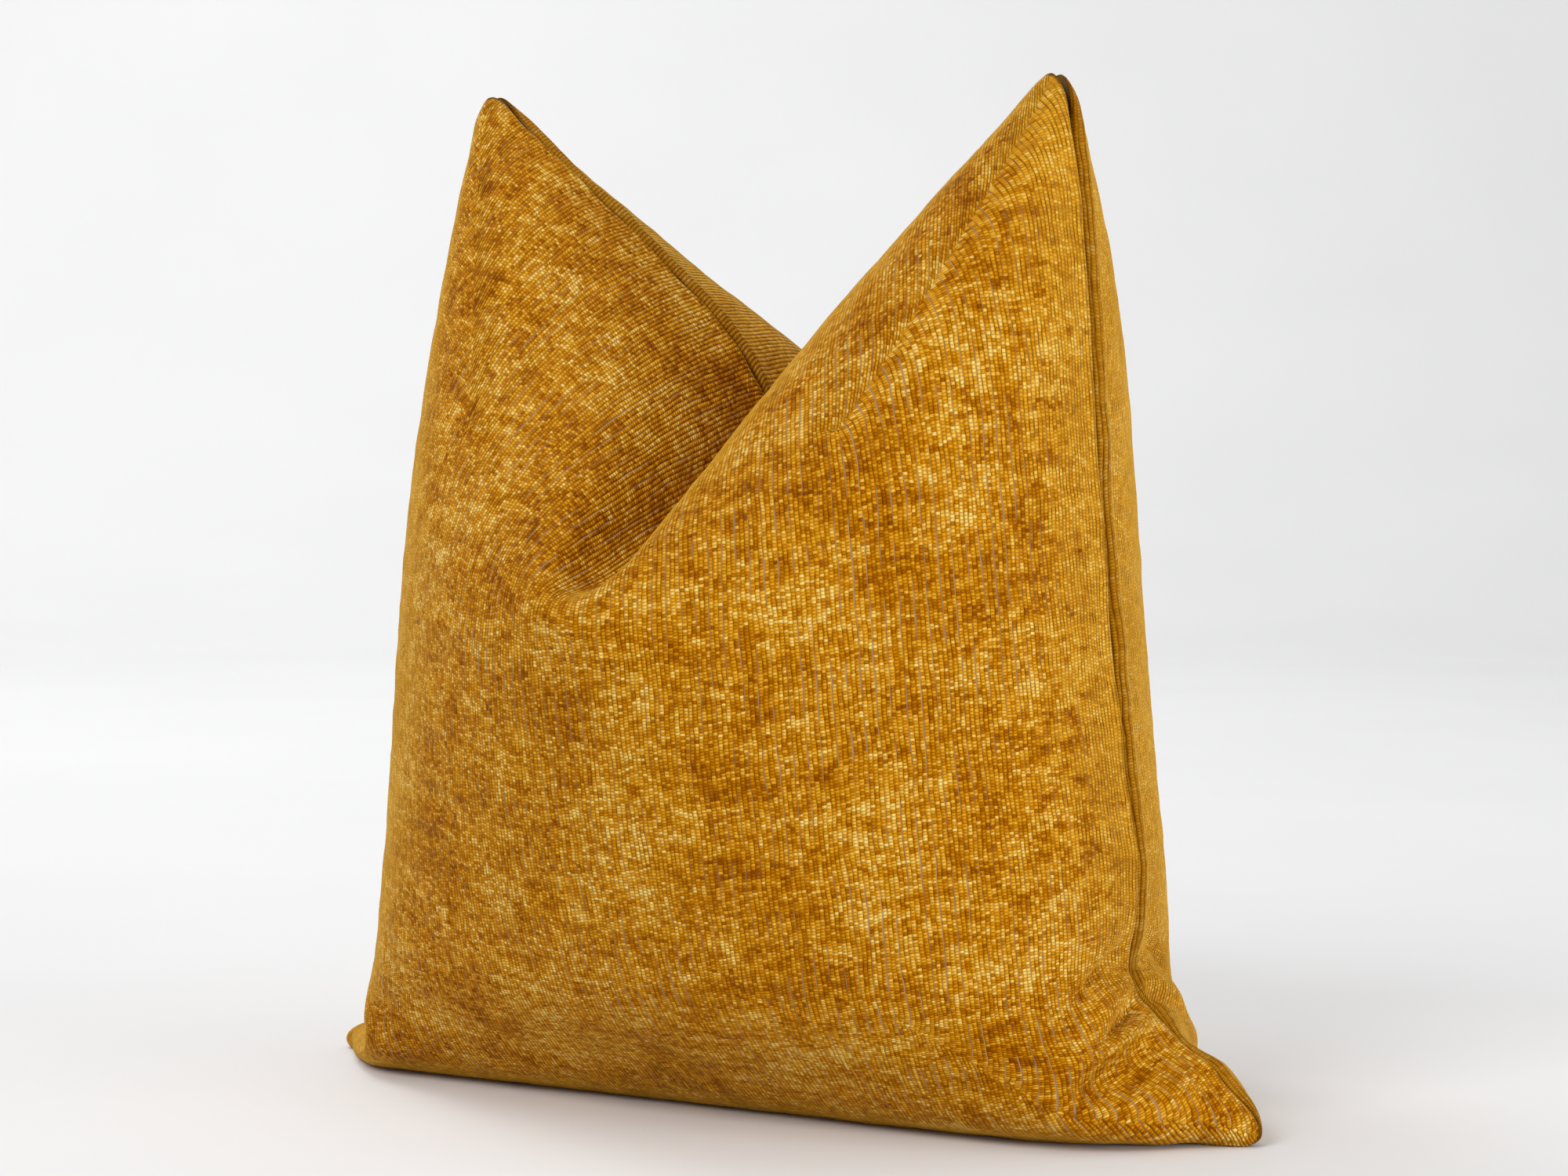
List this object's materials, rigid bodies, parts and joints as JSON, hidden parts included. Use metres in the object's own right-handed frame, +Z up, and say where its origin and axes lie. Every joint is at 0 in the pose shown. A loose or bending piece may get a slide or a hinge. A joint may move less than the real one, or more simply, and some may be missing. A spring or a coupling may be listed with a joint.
{
  "type": "throw pillow",
  "caption": "Square knife-edge throw pillow in pile fabric, standing with its top pressed in, zipped removable cover over a filled insert.",
  "frame": {"origin": "on the floor under the middle of the pillow", "axes": "+Z up, the front panel faces -Y, and +X is to the right as the front panel is seen, along the bottom seam towards the end where the slider stands at rest"},
  "size_m": [0.508, 0.3004, 0.482],
  "materials": {
    "pile_fabric": "mustard chenille with a crushed pile",
    "sewing_thread": "spun polyester thread",
    "white_thread": "spun polyester thread",
    "zip_tape": "woven tape",
    "zip_coil": "nylon coil",
    "zip_metal": "antique brass",
    "ticking": "plain woven cotton ticking",
    "fibre_fill": "loose polyester fibre"
  },
  "bodies": {
    "pillow": {"cover_front": "pile_fabric", "cover_back": "pile_fabric", "cover_seam_thread": "sewing_thread", "edge_overlock": "sewing_thread", "zip_tape_front": "zip_tape", "zip_tape_back": "zip_tape", "zip_coil_front": "zip_coil", "zip_coil_back": "zip_coil", "zip_stop_start": "zip_metal", "zip_stop_end": "zip_metal", "zip_stitching": "sewing_thread", "insert_front": "ticking", "insert_back": "ticking", "insert_seam_thread": "white_thread", "fill": "fibre_fill"},
    "slider": {"zip_slider": "zip_metal"},
    "pull": {"zip_pull": "zip_metal"}
  },
  "joints": [
    {"name": "zip_slide", "type": "slide", "parent": "pillow", "child": "slider", "axis": [-1, 0, 0], "range_m": [0, 0.388]},
    {"name": "pull_hinge", "type": "hinge", "parent": "slider", "child": "pull", "pos_m": [0.195, 0, 0.00635], "axis": [0, -1, 0], "range_deg": [0, 170]}
  ]
}
